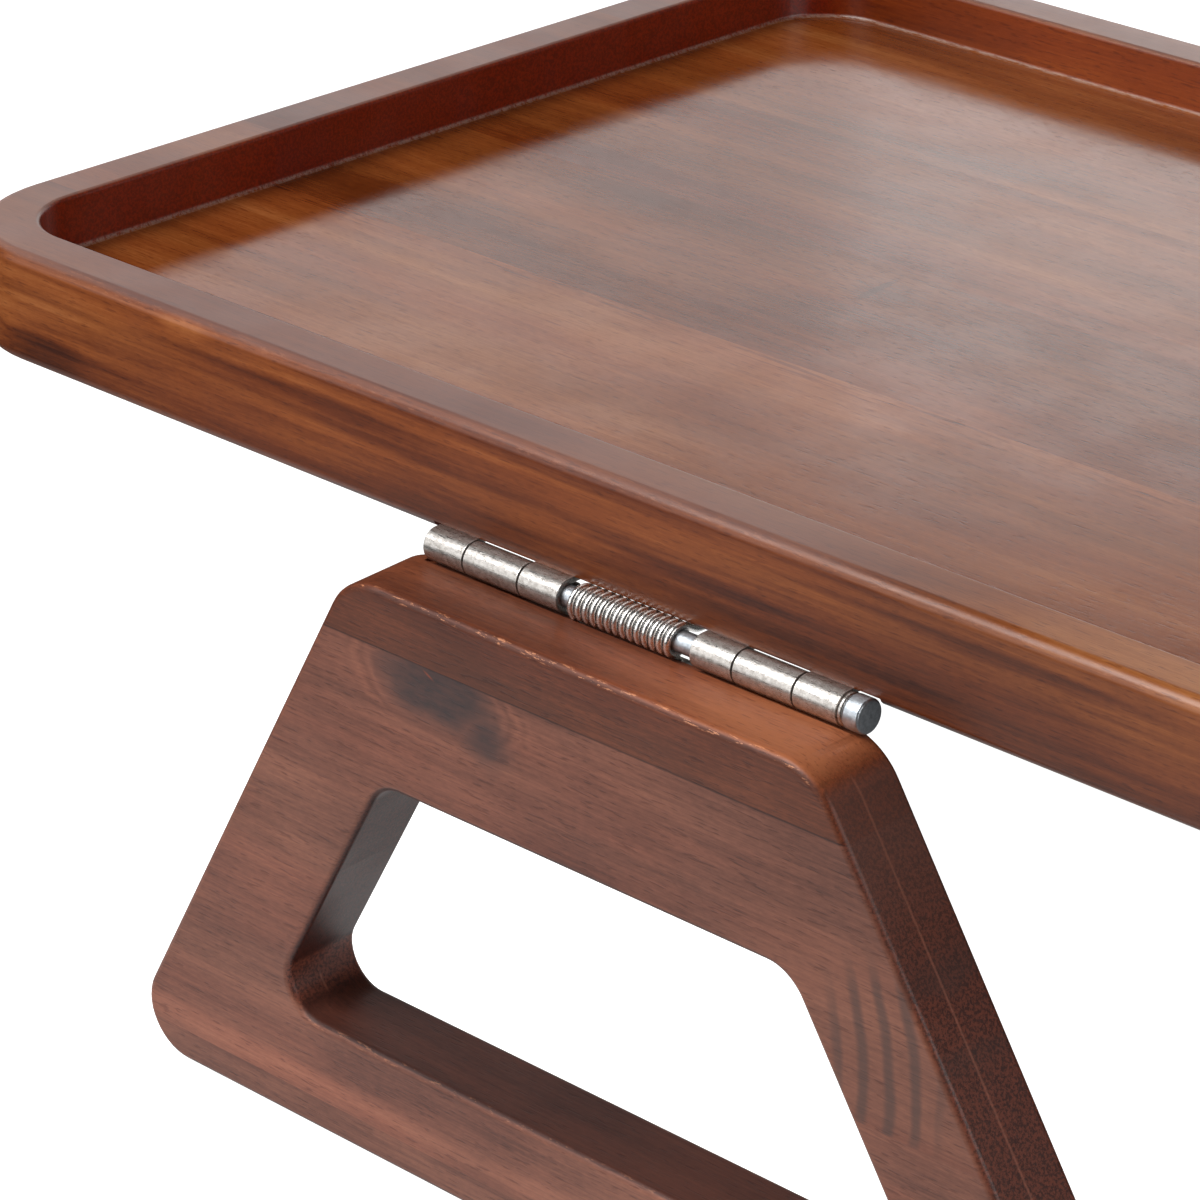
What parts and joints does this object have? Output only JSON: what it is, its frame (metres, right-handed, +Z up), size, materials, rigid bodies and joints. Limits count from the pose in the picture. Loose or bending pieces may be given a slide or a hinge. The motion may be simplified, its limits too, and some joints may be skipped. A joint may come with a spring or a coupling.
{
  "type": "sofa arm tray table",
  "caption": "Small folding tray table: a shallow rimmed wooden tray on spring-hinged trapezoid wings that clamp over a sofa arm or stand on a flat surface, and fold flat underneath.",
  "frame": {"origin": "middle of the object's footprint, on the surface that the wings' feet stand on", "axes": "+X along the tray's long side, +Y from the front wing to the rear wing, +Z up"},
  "size_m": [0.344, 0.2608, 0.1319],
  "materials": {
    "tray_wood": "walnut-stained hardwood under satin lacquer, glossier on the tray floor",
    "wing_wood": "walnut-stained hardwood under satin lacquer, worn arrises",
    "hinge_nickel": "worn satin nickel plate",
    "spring_steel": "bright nickel-plated spring wire",
    "pin_zinc": "dull bluish zinc plate",
    "screw_zinc": "zinc-plated steel"
  },
  "bodies": {
    "tray": {"tray_stave_1": "tray_wood", "tray_stave_2": "tray_wood", "tray_stave_3": "tray_wood", "tray_stave_4": "tray_wood", "tray_stave_5": "tray_wood", "tray_stave_6": "tray_wood", "front_tray_leaf": "hinge_nickel", "front_hinge_pin": "pin_zinc", "front_hinge_washer": "pin_zinc", "front_hinge_spring": "spring_steel", "front_tray_leaf_screws": "screw_zinc", "rear_tray_leaf": "hinge_nickel", "rear_hinge_pin": "pin_zinc", "rear_hinge_washer": "pin_zinc", "rear_hinge_spring": "spring_steel", "rear_tray_leaf_screws": "screw_zinc"},
    "front_wing": {"front_wing_top_strip": "wing_wood", "front_wing_upper_strip": "wing_wood", "front_wing_lower_strip": "wing_wood", "front_wing_foot_strip": "wing_wood", "front_wing_leaf": "hinge_nickel", "front_wing_leaf_screws": "screw_zinc"},
    "rear_wing": {"rear_wing_top_strip": "wing_wood", "rear_wing_upper_strip": "wing_wood", "rear_wing_lower_strip": "wing_wood", "rear_wing_foot_strip": "wing_wood", "rear_wing_leaf": "hinge_nickel", "rear_wing_leaf_screws": "screw_zinc"}
  },
  "joints": [
    {"name": "front_wing_fold", "type": "hinge", "parent": "tray", "child": "front_wing", "pos_m": [0, -0.116, 0.11043], "axis": [1, 0, 0], "range_deg": [-92.5, 87.5], "stiffness_Nm_per_rad": 0.8, "deforming": ["front_hinge_spring"]},
    {"name": "rear_wing_fold", "type": "hinge", "parent": "tray", "child": "rear_wing", "pos_m": [0, 0.116, 0.11043], "axis": [-1, 0, 0], "range_deg": [-92.5, 87.5], "stiffness_Nm_per_rad": 0.8, "deforming": ["rear_hinge_spring"]}
  ]
}
